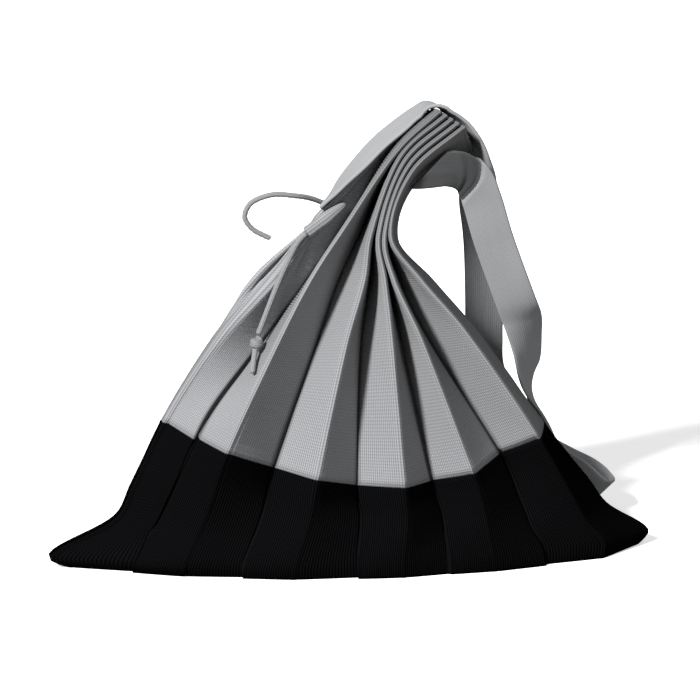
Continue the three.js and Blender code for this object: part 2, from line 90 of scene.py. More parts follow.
def catmull(points, count, extra=None):
    """Evenly spaced points on a centripetal Catmull-Rom curve, and other columns carried along."""
    p = np.asarray(points, float)
    e = p if extra is None else np.asarray(extra, float)
    n = len(p)
    pe = np.vstack([2 * p[0] - p[1], p, 2 * p[-1] - p[-2]])
    ee = np.vstack([2 * e[0] - e[1], e, 2 * e[-1] - e[-2]])
    out, oute = [], []
    for i in range(1, n):
        q = pe[i - 1:i + 3]
        r = ee[i - 1:i + 3]
        t = np.concatenate([[0.0], np.cumsum(np.sqrt(np.linalg.norm(np.diff(q, axis=0), axis=1)))])
        for s in np.linspace(t[1], t[2], 60, endpoint=(i == n - 1)):
            for src, dst in ((q, out), (r, oute)):
                a1 = src[0] * (t[1] - s) / (t[1] - t[0]) + src[1] * (s - t[0]) / (t[1] - t[0])
                a2 = src[1] * (t[2] - s) / (t[2] - t[1]) + src[2] * (s - t[1]) / (t[2] - t[1])
                a3 = src[2] * (t[3] - s) / (t[3] - t[2]) + src[3] * (s - t[2]) / (t[3] - t[2])
                b1 = a1 * (t[2] - s) / (t[2] - t[0]) + a2 * (s - t[0]) / (t[2] - t[0])
                b2 = a2 * (t[3] - s) / (t[3] - t[1]) + a3 * (s - t[1]) / (t[3] - t[1])
                dst.append(b1 * (t[2] - s) / (t[2] - t[1]) + b2 * (s - t[1]) / (t[2] - t[1]))
    out, oute = np.array(out), np.array(oute)
    d = np.concatenate([[0.0], np.cumsum(np.linalg.norm(np.diff(out, axis=0), axis=1))])
    at = np.linspace(0, d[-1], count)
    even = np.stack([np.interp(at, d, out[:, k]) for k in range(3)], 1)
    if extra is None:
        return even, d[-1]
    return even, d[-1], np.stack([np.interp(at, d, oute[:, k]) for k in range(oute.shape[1])], 1)


def mesh_piece(name, verts, faces, uvs=None, material=None, crisp=0, painted_shading=None):
    """A mesh object from millimetre points, with one uv for each vertex. The last faces may be crisp."""
    mesh = bpy.data.meshes.new(name)
    mesh.from_pydata(place(verts).tolist(), [], faces)
    if uvs is not None:
        layer = mesh.uv_layers.new(name="knit")
        index = np.zeros(len(mesh.loops), np.int32)
        mesh.loops.foreach_get("vertex_index", index)
        layer.data.foreach_set("uv", np.asarray(uvs, np.float32)[index].ravel())
    mesh.update()
    mesh.validate()
    soft = np.ones(len(mesh.polygons), bool)
    if crisp:
        soft[-crisp:] = False
    mesh.polygons.foreach_set("use_smooth", soft)
    # a colour factor for each point, for painted shade and painted light
    if painted_shading is not None:
        layer = mesh.attributes.new("painted_shading", "FLOAT", "POINT")
        layer.data.foreach_set("value", np.asarray(painted_shading, np.float32))
    if material is not None:
        mesh.materials.append(material)
    obj = bpy.data.objects.new(name, mesh)
    bpy.context.scene.collection.objects.link(obj)
    return obj


def grid_faces(rows, cols, start=0, closed=False, flip=False):
    faces = []
    last = cols if closed else cols - 1
    for j in range(rows - 1):
        for k in range(last):
            a, b = start + j * cols + k, start + j * cols + (k + 1) % cols
            c, d = start + (j + 1) * cols + (k + 1) % cols, start + (j + 1) * cols + k
            faces.append((a, d, c, b) if flip else (a, b, c, d))
    return faces


# ---------------------------------------------------------------- materials
def node(tree, kind, **sets):
    made = tree.nodes.new(kind)
    for k, v in sets.items():
        setattr(made, k, v)
    return made


def math_node(tree, op, a, b=None, c=None):
    made = node(tree, "ShaderNodeMath", operation=op)
    for i, v in enumerate((a, b, c)):
        if v is None:
            continue
        if isinstance(v, (int, float)):
            made.inputs[i].default_value = v
        else:
            tree.links.new(v, made.inputs[i])
    return made.outputs[0]


def knit_material(name, colour, groove, roughness, sheen, depth, fibre=0.08, patch=0.05, slub=1.0, gloss=0.1, with_painted_shading=False):
    """A knit: columns of V stitches from the piece's uv, which counts columns and rows."""
    mat = bpy.data.materials.new(name)
    mat.use_nodes = True
    t = mat.node_tree
    bsdf = t.nodes["Principled BSDF"]
    bsdf.inputs["Roughness"].default_value = roughness
    bsdf.inputs["Sheen Weight"].default_value = sheen
    bsdf.inputs["Sheen Roughness"].default_value = 0.55
    bsdf.inputs["Specular IOR Level"].default_value = gloss
    uv = node(t, "ShaderNodeUVMap", uv_map="knit")
    split = node(t, "ShaderNodeSeparateXYZ")
    t.links.new(uv.outputs[0], split.inputs[0])
    u, v = split.outputs[0], split.outputs[1]
    # distance from the middle of the column, 0 to 1
    across = math_node(t, "ABSOLUTE", math_node(t, "MULTIPLY_ADD", math_node(t, "FRACT", u), 2.0, -1.0))
    leg = math_node(t, "MULTIPLY_ADD", across, 0.3, v)  # rows slant up towards the sides: V stitches
    row = math_node(t, "MULTIPLY_ADD", math_node(t, "COSINE", math_node(t, "MULTIPLY", leg, 2 * math.pi)), 0.5, 0.5)
    # the column is high off its middle line and drops at its sides
    dome = math_node(t, "SUBTRACT", 1.0, math_node(t, "POWER", across, 2.0))
    height = math_node(t, "MULTIPLY", dome, math_node(t, "MULTIPLY_ADD", row, 0.4, 0.6))
    geo = node(t, "ShaderNodeTexCoord")
    fine = node(t, "ShaderNodeTexNoise")
    fine.inputs["Scale"].default_value = 1500.0
    fine.inputs["Detail"].default_value = 3.0
    t.links.new(geo.outputs["Object"], fine.inputs["Vector"])
    big = node(t, "ShaderNodeTexNoise")
    big.inputs["Scale"].default_value = 26.0
    big.inputs["Detail"].default_value = 4.0
    t.links.new(geo.outputs["Object"], big.inputs["Vector"])
    # the colour darkens where the stitch surface is low: partly the knit's own stitch pattern, partly painted shade in
    # the grooves
    tone = math_node(t, "MULTIPLY_ADD", height, 1.0 - groove, groove)
    tone = math_node(t, "MULTIPLY", tone, math_node(t, "MULTIPLY_ADD", fine.outputs["Fac"], 2 * fibre, 1.0 - fibre))
    tone = math_node(t, "MULTIPLY", tone, math_node(t, "MULTIPLY_ADD", big.outputs["Fac"], 2 * patch, 1.0 - patch))
    # the colour times the mesh's shade factor: painted shade and painted light
    if with_painted_shading:
        tone = math_node(t, "MULTIPLY", tone, node(t, "ShaderNodeAttribute", attribute_name="painted_shading").outputs["Fac"])
    mix = node(t, "ShaderNodeMix", data_type="RGBA", blend_type="MULTIPLY")
    mix.inputs["Factor"].default_value = 1.0
    mix.inputs["A"].default_value = (*colour, 1.0)
    grey = node(t, "ShaderNodeCombineColor")
    for i in range(3):
        t.links.new(tone, grey.inputs[i])
    t.links.new(grey.outputs[0], mix.inputs["B"])
    t.links.new(mix.outputs["Result"], bsdf.inputs["Base Color"])
    bump = node(t, "ShaderNodeBump")
    bump.inputs["Strength"].default_value = 1.0
    bump.inputs["Distance"].default_value = depth * MM
    rough = math_node(t, "MULTIPLY_ADD", fine.outputs["Fac"], 0.25 * slub, height)
    t.links.new(rough, bump.inputs["Height"])
    t.links.new(bump.outputs["Normal"], bsdf.inputs["Normal"])
    return mat


GREY = (0.250, 0.253, 0.262)
grey_knit = knit_material("grey_knit", GREY, 0.46, 0.9, 0.1, 0.5, fibre=0.08, with_painted_shading=True)
strap_knit = knit_material("strap_knit", (0.225, 0.23, 0.237), 0.86, 0.88, 0.1, 0.14, fibre=0.07, with_painted_shading=True)
black_knit = knit_material("black_knit", (0.0041, 0.0041, 0.0046), 0.1, 0.95, 0.0, 0.9, gloss=0.0)
cord_knit = knit_material("cord_knit", (0.21, 0.212, 0.218), 0.6, 0.9, 0.1, 0.3)


# ---------------------------------------------------------------- the pleats
WALL = 1.6
COLUMNS = ("name", "at", "left_x", "left_z", "right_x", "right_z", "sag", "skew", "side_x", "side_z",
           "fin", "ridge_l", "ridge_r", "belly", "pleat", "dip", "drift", "drop", "flat", "first", "perk", "tuck", "roll", "stray", "slot", "back_fin")
# back_fin: fin of the back half; first: how far the first valley comes forward, perk: how far it is lifted; tuck: how far the left side seam
# is drawn in; roll: width of the first front ridge's left facet; stray: how far the first back ridge stands
# out to the left; slot: depth of the pinch at the bottom of each valley.
SECTIONS = [dict(zip(COLUMNS, row)) for row in (
    ("bottom", 0.00, -202, 0, 178, 0, 0, 0, 211, 0, 3, 3, 34, 42, 2.5, 0, 0, 0, 1.8, 0, 0, 0, 0, 0, 0, 3),
    ("toe", 0.04, -215, 9.5, 179, 13, 0, 0, 217, 11, 5, 7, 35, 42, 5, 0, 0, 0, 1.7, 0, 0, 0, 0, 0, 0, 5),
    ("hem", 0.12, -169, 34, 165, 30, 2, 0, 187, 31, 6, 14, 33, 36, 11, 1, 0, 0, 1.5, 3, 2, 0, 0, 0, 0.8, 5),
    ("ankle", 0.17, -156.5, 56.5, 155.5, 48, 10, 0.1, 174, 49, 5, 19, 32, 29, 16, 2.5, 0, 0, 1.5, 5, 3, 0, 0, 0, 1.5, 5),
    ("border", 0.29, -133.5, 104.5, 132, 90, 33, 0.4, 140, 94, 3, 30, 30, 15, 27, 6.5, 0, 0, 2.0, 10, 5, 0, 1, 0, 5, 4),
    ("waist", 0.50, -95, 167, 80, 169, 5, 0.5, 93, 161, 13, 38, 38, 4, 34, 8, 0.05, 0.08, 2.0, 0, 0, 0, 2, 0, 6, 4),
    ("gather", 0.63, -58.5, 210, 48.5, 206, 1, 0.2, 59.5, 202, 14, 40, 40, 1, 36, 3, 0.11, 0.20, 2.2, -3, 0, 5, 6.5, 9, 3, 3),
    ("neck", 0.73, -30, 247, 29, 235, 0, 0, 34, 233, 11, 40, 40, 0, 36, 0, 0.14, 0.27, 2.3, -4, 0, 6, 2.5, -1, 0, 3),
    ("shoulder", 0.87, 26.5, 304, 44, 281, 0, 0, 47, 274, 5, 38, 38, 0, 34, 0, 0.14, 0.27, 2.3, 0, 0, 3.2, 0, -3, 0, 5),
    ("mouth", 1.00, 58.5, 328.7, 81.7, 313, 0, 0, 85.5, 297, 5, 36, 36, 0, 31, 0, 0.14, 0.27, 2.3, 0, 0, 3.0, 0, -3, 0, 5),
)]
FOLD_SHARES = np.array([
    # bottom, toe,   hem,   ankle, border, waist, gather, neck, shoulder, mouth
    (0.000, 0.000, 0.000, 0.000, 0.000, 0.000, 0.005, 0.055, 0.070, 0.150),
    (0.113, 0.146, 0.080, 0.078, 0.080, 0.188, 0.271, 0.420, 0.200, 0.125),
    (0.202, 0.229, 0.166, 0.161, 0.154, 0.222, 0.276, 0.438, 0.360, 0.250),
    (0.312, 0.335, 0.288, 0.290, 0.293, 0.396, 0.467, 0.641, 0.440, 0.344),
    (0.405, 0.425, 0.386, 0.389, 0.397, 0.504, 0.631, 0.765, 0.520, 0.437),
    (0.525, 0.539, 0.508, 0.511, 0.519, 0.576, 0.674, 0.812, 0.600, 0.531),
    (0.611, 0.621, 0.602, 0.610, 0.634, 0.694, 0.768, 0.859, 0.680, 0.625),
    (0.700, 0.706, 0.692, 0.700, 0.723, 0.743, 0.790, 0.894, 0.760, 0.719),
    (0.786, 0.788, 0.782, 0.791, 0.821, 0.817, 0.828, 0.928, 0.840, 0.812),
    (0.887, 0.883, 0.881, 0.888, 0.911, 0.847, 0.864, 0.968, 0.920, 0.906),
    (1.000, 1.000, 1.000, 1.000, 1.000, 1.000, 1.000, 1.000, 1.000, 1.000),
])
AT = np.array([s["at"] for s in SECTIONS])
BACK_DROP, BACK_DRIFT = 0.74, 0.3  # shares of the front's lean that the back has
SLOTS = np.array([s["slot"] for s in SECTIONS])


def section_corners(i, front):
    """Two corner points for each fold of one half, left seam first, right side fold last."""
    s = SECTIONS[i]
    left = np.array([s["left_x"], 0.0, s["left_z"]])
    span = np.array([s["right_x"] - s["left_x"], 0.0, s["right_z"] - s["left_z"]])
    along = unit(span)
    down = np.array([along[2], 0.0, -along[0]])
    lean = np.array([s["drift"] * (1.0 if front else BACK_DRIFT), 1.0, -s["drop"] * (1.0 if front else BACK_DROP)])
    way = -1.0 if front else 1.0
    pts = []
    for k, share in enumerate(FOLD_SHARES[:, i]):
        ridge = k % 2 == 0
        arch = 4 * share * (1 - share)
        depth = s["ridge_l"] + (s["ridge_r"] - s["ridge_l"]) * share + s["belly"] * arch
        if k == 0:
            depth = s["fin"] if front else s["back_fin"]
        if not ridge:
            depth -= s["pleat"]
        if k == 1 and front:
            depth += s["first"]
        mid = left + span * share + down * (s["sag"] * arch * (1 + s["skew"] * (2 * share - 1)) + (0 if ridge else s["dip"] * arch) - (s["perk"] if k == 1 else 0))
        for side in (-0.5, 0.5):
            pts.append(mid + along * side * s["flat"] + lean * depth * way)
    if front:  # the first ridge is a soft roll: its left edge lies back, its right edge comes forward
        pts[0] = pts[0] - lean * way * 0.75 * min(s["roll"], s["fin"])
        pts[1] = pts[1] + along * s["roll"]
    else:  # the first back ridge stands out
        pts[0] = pts[0] - along * s["stray"]
        pts[1] = pts[1] - along * s["stray"]
    seam = left - along * 0.5 * s["flat"] + along * s["tuck"]
    side = np.array([s["side_x"], 0.0, s["side_z"]])
    return np.array([seam] + pts + [side + lean * way * 0.5 * s["flat"], side])


def curve_at(rings, t):
    """Smooth curve through the sections for every corner."""
    rings = np.asarray(rings)
    i = int(np.clip(np.searchsorted(AT, t, side="right") - 1, 0, len(AT) - 2))
    h = AT[i + 1] - AT[i]
    u = (t - AT[i]) / h

    def slope(j):
        a, b = max(0, j - 1), min(len(AT) - 1, j + 1)
        return (rings[b] - rings[a]) / (AT[b] - AT[a])
    h00, h10 = 2 * u ** 3 - 3 * u ** 2 + 1, u ** 3 - 2 * u ** 2 + u
    h01, h11 = -2 * u ** 3 + 3 * u ** 2, u ** 3 - u ** 2
    return rings[i] * h00 + slope(i) * (h10 * h) + rings[i + 1] * h01 + slope(i + 1) * (h11 * h)


RIB_SAMPLES = 3
RIBS = [5, 19] + [20] * 10  # knit columns of each panel, left gusset half first, right side last
RIB_HEIGHT = 0.25
RIB_SHAPE = np.array([1.0, -0.5, -0.5])
SLOT_GAP = [3.6, 3.6, 3.6, 3.6, 3.6, 3.6, 2.4, 1.7, 1.7, 1.7]  # a value for each section: between the two sides of a pinched valley, cloth middle to cloth middle


def row_points(corners, slot, gap):
    """Points along one row: every panel's knit columns, round ridges, pinched valleys. Also the column count,
    the share across the panel, the panel's number, and where the row may be rounded off."""
    ends = corners.copy()
    pinch = {}
    for v in (1, 3, 5, 7, 9):
        mid = (corners[2 * v + 1] + corners[2 * v + 2]) / 2
        left, right = corners[2 * v], corners[2 * v + 3]
        inward = unit(mid - (left + right) / 2)
        aside = right - left
        aside = unit(aside - inward * np.dot(aside, inward))
        ends[2 * v + 1] = mid - inward * slot - aside * gap / 2
        ends[2 * v + 2] = mid - inward * slot + aside * gap / 2
        low = [mid - aside * gap / 2, mid + inward * 0.5, mid + aside * gap / 2]
        pinch[v] = [ends[2 * v + 1], (ends[2 * v + 1] + low[0]) / 2, *low, (ends[2 * v + 2] + low[2]) / 2]
    pts, cols, share, panel, ease = [], [], [], [], []
    total = 0
    for p in range(12):
        a, b = ends[2 * p], ends[2 * p + 1]
        count = RIBS[p] * RIB_SAMPLES
        for k in range(count):
            f = k / count
            pts.append(a + (b - a) * f)
            cols.append(total + f * RIBS[p])
            share.append(f)
            panel.append(p)
            ease.append(1.0)
        total += RIBS[p]
        if p == 11:
            extra, soft = [b, ends[2 * p + 2]], 1.0
        elif p in pinch:
            extra, soft = pinch[p], 0.0
        else:
            extra, soft = [b, (b + ends[2 * p + 2]) / 2], 1.0
        for m, q in enumerate(extra):
            pts.append(q)
            cols.append(total + m / len(extra))
            share.append(0.0)
            panel.append(-1)
            ease.append(soft)
        total += 1
    return np.array(pts), np.array(cols), np.array(share), np.array(panel), np.array(ease)


def bump(x, at, wide):
    return np.exp(-((x - at) / wide) ** 2)


def half_grid(t0, t1, rows, front, base_rows=0):
    """The middle surface of one half of the wall between two heights, with its base if asked: points [row, column, xyz], and its uv."""
    rings = [section_corners(i, front) for i in range(len(SECTIONS))]
    grid, vs = [], []
    ts = np.linspace(t0, t1, rows)
    if t1 == 1.0:  # closer rows for the rolled edge of the mouth
        ts = np.concatenate([np.linspace(t0, 0.984, rows - 6), [0.9885, 0.9915, 0.994, 0.9965, 0.9985, 1.0]])
    for t in ts:
        pts, cols, share, panel, ease = row_points(curve_at(rings, t), np.interp(t, AT, SLOTS), np.interp(t, AT, SLOT_GAP))
        keep = pts.copy()
        for k in range(3):
            blend = (pts[:-2] + 2 * pts[1:-1] + pts[2:]) / 4
            soft = ease[1:-1, None] if k else np.maximum(ease, 0.5)[1:-1, None]
            pts[1:-1] = pts[1:-1] + (blend - pts[1:-1]) * soft
        pts[0], pts[-1] = keep[0], keep[-1]
        if front:  # the last panel's end reaches into the strap's turn
            late = smooth((t - 0.93) / 0.07)
            pts[panel == 11, 0] += 2.6 * late * smooth((share[panel == 11] - 0.2) / 0.8)
            pts[-2:, 0] += 2.6 * late
        # the first fold's end lies under the strap's crown
        first_end = np.flatnonzero(panel == 1)[0]
        early = np.where(np.arange(len(panel)) < first_end, 1.0, np.where(panel == 1, smooth(1 - share / 0.6), 0.0))
        reach = early * smooth((t - 0.94) / 0.06)
        pts[:, 0] -= 2.0 * reach + 2.6 * early * bump(t, 0.965, 0.03)
        pts[:, 2] -= 1.45 * reach
        # and swells beside the casing
        pts[:, 0] -= 2.6 * early * bump(t, 0.75, 0.018)
        if not front:  # the back's first ridge is a roll beside a deep slit
            strip = smooth((t - 0.58) / 0.06) * smooth((0.80 - t) / 0.05)
            first = panel == 0
            pts[first, 1] += strip * (3.0 * bump(share[first], 0.42, 0.2) - 2.5 * bump(share[first], 0.8, 0.17))
        grid.append(pts)
        vs.append(t * BODY_HEIGHT / ROW_PITCH)
    grid, vs = np.array(grid), np.array(vs)
    if base_rows:
        grid[:, :, 2] = np.maximum(grid[:, :, 2], WALL / 2)
        edge = grid[0]
        base, bv = [], []
        for m in range(base_rows):
            f = m / base_rows
            p = edge.copy()
            p[:, 1] = edge[:, 1] * f
            p[:, 2] = WALL / 2
            base.append(p)
            bv.append(-(1 - f) * 45 / ROW_PITCH)
        grid, vs = np.concatenate([np.array(base), grid]), np.concatenate([bv, vs])
    return grid, vs, cols, share, panel, np.concatenate([np.full(base_rows, -1.0), ts])


def grid_normals(grid, front):
    du = np.gradient(grid, axis=1)
    dv = np.gradient(grid, axis=0)
    n = unit(np.cross(du, dv))
    return n if front else -n


BODY_HEIGHT = 410.0
ROW_PITCH = 2.0


def ridge_bead(panel):
    """Every ridge's fold stands a little proud, with a faint line beside it."""
    bead = np.zeros(len(panel))
    fold = np.flatnonzero(panel < 0)
    runs = np.split(fold, np.flatnonzero(np.diff(fold) > 1) + 1)
    for run in runs:
        if len(run) != 2 or run[0] == fold[-2]:  # valleys have more points, the last run is the side
            continue
        for step, high in ((1, 0.22), (2, 0.02), (3, -0.22), (4, -0.14), (5, -0.04)):
            bead[run[0] - step] += high
            bead[run[-1] + step] += high
        bead[run] += 0.28
    return bead


def valley_painted_shade(panel):
    """Painted shade: the colour is darkened at the pinched bottoms of the valleys and fades out beside them."""
    painted_shading = np.ones(len(panel))
    fold = np.flatnonzero(panel < 0)
    for run in np.split(fold, np.flatnonzero(np.diff(fold) > 1) + 1):
        if len(run) < 4:
            continue
        for step, value in ((1, 0.5), (2, 0.62), (3, 0.76), (4, 0.88), (5, 0.95)):
            painted_shading[run[0] - step] = painted_shading[run[-1] + step] = value
        painted_shading[run] = 0.4
    return painted_shading


def pleated_piece(name, t0, t1, rows, front, material, base_rows=0, mouth=False, proud=0.0):
    grid, vs, cols, share, panel, ts = half_grid(t0, t1, rows, front, base_rows)
    normal = grid_normals(grid, front)
    # the cloth is never dead flat: a little belly across each panel and slow unevenness
    room = np.interp(ts, [-1, 0.0, 0.12, 0.29, 0.5, 0.66, 1.0], [0, 0.3, 1.0, 1.0, 0.7, 0.15, 0.1])[:, None]
    belly = 4 * share * (1 - share)
    seed = 3 if front else 17
    sway = ripple(cols[None, :] * 0.055, ts[:, None] * 7.0, seed)
    lift = room * (0.55 * belly[None, :] + 0.75 * sway)
    if front and mouth:  # the panel beside the drawcord's exit is drawn into small radial puckers
        side_mm = share[None, :] * 36 - 3
        down_mm = (0.705 - ts[:, None]) * BODY_HEIGHT
        far = np.hypot(side_mm, down_mm)
        turn = np.arctan2(side_mm, down_mm)
        pucker = bump(far, 20, 14) * (1 + np.cos(7 * turn + 0.9 + 0.02 * far)) * smooth(down_mm / 7) * (panel == 1)[None, :]
        lift = lift - 1.15 * pucker
    grid = grid + normal * lift[:, :, None]
    normal = grid_normals(grid, front)
    n_rows, n_cols = grid.shape[:2]
    phase = np.round(cols * RIB_SAMPLES).astype(int) % RIB_SAMPLES
    rib = np.where(panel < 0, 0.0, RIB_SHAPE[phase] * RIB_HEIGHT)
    rib = rib + ridge_bead(panel)
    thick = np.full((n_rows, n_cols), WALL / 2)
    if proud:
        near = smooth(1 - (t1 - ts) / 0.012)
        thick = thick + (proud * near)[:, None]
    if mouth:
        roll = np.interp(ts, [0.9885, 0.9915, 0.994, 0.9965, 0.9985, 1.0], [0.0, -0.25, 0.35, 0.55, 0.3, -0.5])
        thick = thick + roll[:, None]
    outer = grid + normal * (thick + rib[None, :])[:, :, None]
    inner = grid - normal * (WALL / 2)
    if base_rows:
        outer[:, :, 2] = np.maximum(outer[:, :, 2], 0.0)
        inner[:, :, 2] = np.maximum(inner[:, :, 2], WALL / 2)
    count = n_rows * n_cols
    verts = np.concatenate([outer.reshape(-1, 3), inner.reshape(-1, 3)])
    uv = np.stack(np.broadcast_arrays(cols[None, :], vs[:, None]), -1).reshape(-1, 2)
    uvs = np.concatenate([uv, uv])
    faces = grid_faces(n_rows, n_cols, 0, flip=not front)
    faces += grid_faces(n_rows, n_cols, count, flip=front)
    rim, edge = [], []
    for j in range(n_rows - 1):
        a, b = j * n_cols, (j + 1) * n_cols
        rim.append((a, b, count + b, count + a))
        a, b = a + n_cols - 1, b + n_cols - 1
        rim.append((a, count + a, count + b, b))
    for k in range(n_cols - 1):
        top = (n_rows - 1) * n_cols + k
        (rim if mouth else edge).append((top, top + 1, count + top + 1, count + top))
        (edge if mouth else rim).append((k, count + k, count + k + 1, k + 1))
    rim += edge  # the edge at the colour line is crisp
    faces += rim if front else [f[::-1] for f in rim]
    # painted shade: past the first panel, the neck's colour is darkened more and more towards the mouth
    neck_painted_shade = np.interp(ts, [0.64, 0.76, 0.88, 1.0], [0.0, 0.22, 0.40, 0.46])[:, None] * (np.arange(n_cols) > np.flatnonzero(panel == 1)[-1] + 3)[None, :]
    # and painted light: the first panel's colour is made paler below the strap, over the shadow that the ridge on its
    # left casts there
    pale = 0.36 * (smooth((ts - 0.52) / 0.12) * smooth((0.98 - ts) / 0.1))[:, None] * ((panel == 1) * smooth((share - 0.05) / 0.3) * smooth((0.97 - share) / 0.1))[None, :]
    painted_shading = np.tile((valley_painted_shade(panel)[None, :] * (1 - neck_painted_shade + pale)).ravel(), 2)
    return mesh_piece(name, verts, faces, uvs, material, crisp=len(edge), painted_shading=painted_shading)


BORDER = 0.29
front_lower = pleated_piece("front_lower", 0.0, BORDER - 0.0003, 32, True, black_knit, base_rows=6, proud=0.35)
back_lower = pleated_piece("back_lower", 0.0, BORDER - 0.0003, 32, False, black_knit, base_rows=6, proud=0.35)
front_upper = pleated_piece("front_upper", BORDER + 0.0003, 1.0, 62, True, grey_knit, mouth=True)
back_upper = pleated_piece("back_upper", BORDER + 0.0003, 1.0, 62, False, grey_knit, mouth=True)


# ---------------------------------------------------------------- the strap
STRAP_WIDTH, STRAP_THICK = 29.0, 2.4
STRAP = np.array([
    # x, y, z, wx, wy, wz, cut
    (-21.3, -3, 259.6, 0.05, -0.95, 0.40, 0),
    (-13.8, -3, 267.4, 0.08, -0.96, 0.36, 0),
    (-4.9, -3, 278.4, 0.12, -0.97, 0.20, 0),
    (6.8, -3, 290.8, 0.16, -0.97, 0.06, 0),
    (21.3, -3, 305.6, 0.17, -0.97, 0.00, 0),
    (34.8, -3, 316.5, 0.15, -0.97, 0.00, 0),
    (47.0, -4, 326.2, 0.10, -0.98, 0.06, 0),
    (54.3, -6, 330.9, 0.06, -0.98, 0.06, 0),
    (64.6, -9.6, 330.9, -0.12, -0.95, 0.28, 0),
    (69.2, -9.7, 327.3, -0.10, -0.94, 0.33, 0),
    (76.1, -9.8, 322.0, -0.07, -0.94, 0.34, 0),
    (81.4, -9.7, 317.6, 0.05, -0.97, 0.20, 0),
    (86.3, -9.3, 311.5, 0.14, -0.98, 0.06, 0),
    (90.6, -7.6, 303.1, 0.19, -0.98, 0.00, 0),
    (92.8, -4.6, 294.5, 0.30, -0.95, 0.02, 0),
    (95.0, 3.0, 279.5, 0.52, -0.85, 0.10, 0),
    (94.5, 13, 261, 0.88, -0.46, 0.00, 0),
    (99.5, 29, 234, 0.98, 0.15, -0.05, 0),
    (104.0, 45.0, 177.3, 0.98, 0.20, 0.00, 0),
    (105.7, 55.0, 141.8, 0.98, 0.21, 0.05, 0),
    (108.3, 63.0, 117.0, 0.97, 0.21, 0.16, 0),
    (123.4, 76.0, 81.2, 0.83, 0.16, 0.53, 0),
    (151.7, 87.7, 47.8, 0.52, 0.16, 0.84, 0),
    (172.3, 92.1, 33.8, 0.40, 0.20, 0.89, 0),
    (187.8, 91.8, 25.3, 0.40, 0.15, 0.90, 0),
    (195.8, 88.0, 18.8, 0.50, 0.00, 0.86, 0),
    (197.7, 81.4, 16.6, 0.62, -0.30, 0.72, 0),
    (191.2, 71.8, 19.1, 0.55, -0.40, 0.73, 0),
    (175.5, 68.5, 34.5, 0.50, -0.45, 0.74, 0),
    (158.0, 68.7, 49.8, 0.45, -0.60, 0.66, 0),
    (148.6, 56.0, 78.9, 0.13, -0.96, 0.25, 0),
    (139.7, 48.0, 101.1, -0.04, -1.00, 0.05, 0),
    (136.3, 37.0, 124.4, -0.61, -0.79, 0.00, 0),
    (132.7, 26.0, 146.9, -0.80, -0.60, 0.00, 0),
    (128.1, 16.0, 164.6, -0.96, -0.28, -0.04, 0),
    (121.5, 6, 181, -1.00, 0.10, -0.10, 0),
    (101.6, -8.5, 234.2, -0.93, 0.25, -0.26, 0),
    (91.8, -16.0, 265.3, -0.88, 0.32, -0.34, 0),
    (84.2, -21.5, 281.5, -0.55, 0.32, -0.77, 0),
    (72.0, -26.0, 288.9, -0.27, 0.25, -0.93, 0.2),
    (53.6, -29.5, 290.2, 0.00, 0.24, -0.97, 0.82),
])
STRAP_ROWS = 420
STRAP_RIBS = 18


